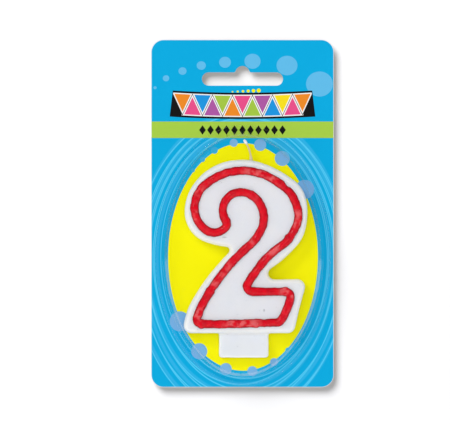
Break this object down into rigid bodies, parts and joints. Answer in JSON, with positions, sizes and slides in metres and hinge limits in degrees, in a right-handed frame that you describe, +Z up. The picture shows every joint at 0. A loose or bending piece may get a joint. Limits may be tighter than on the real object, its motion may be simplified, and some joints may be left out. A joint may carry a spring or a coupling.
{
  "type": "numeral birthday candle",
  "caption": "Moulded white wax numeral candle with a piped red outline, wick and push-in foot, on a printed hang card under a clear blister.",
  "frame": {"origin": "centre of the card's hang slot, on the card's back face", "axes": "+Z up the card, +X to the reader's right, and the printed face looks along -Y"},
  "size_m": [0.073, 0.0125, 0.139],
  "materials": {
    "printed_board": "gloss-varnished print on white board",
    "clear_film": "clear thermoformed film",
    "white_wax": "soft satin wax",
    "red_wax": "glossy piped wax",
    "wick_cotton": "braided cotton, waxed"
  },
  "bodies": {
    "card": {"backing_card": "printed_board"},
    "blister": {"clear_blister": "clear_film"},
    "candle": {"candle_body": "white_wax", "wick": "wick_cotton", "outline_crown": "red_wax", "outline_crook": "red_wax", "outline_upper_diagonal": "red_wax", "outline_lower_diagonal": "red_wax", "outline_base": "red_wax", "outline_base_end": "red_wax", "outline_waist": "red_wax", "outline_right_bowl": "red_wax"}
  },
  "joints": [
    {"name": "blister_lift", "type": "slide", "parent": "card", "child": "blister", "axis": [0, -1, 0], "range_m": [0, 0.06]},
    {"name": "candle_lift", "type": "slide", "parent": "card", "child": "candle", "axis": [0, -1, 0], "range_m": [0, 0.03]}
  ],
  "couplings": [
    {"joint": "candle_lift", "follows": "blister_lift", "ratio": 0.5}
  ]
}
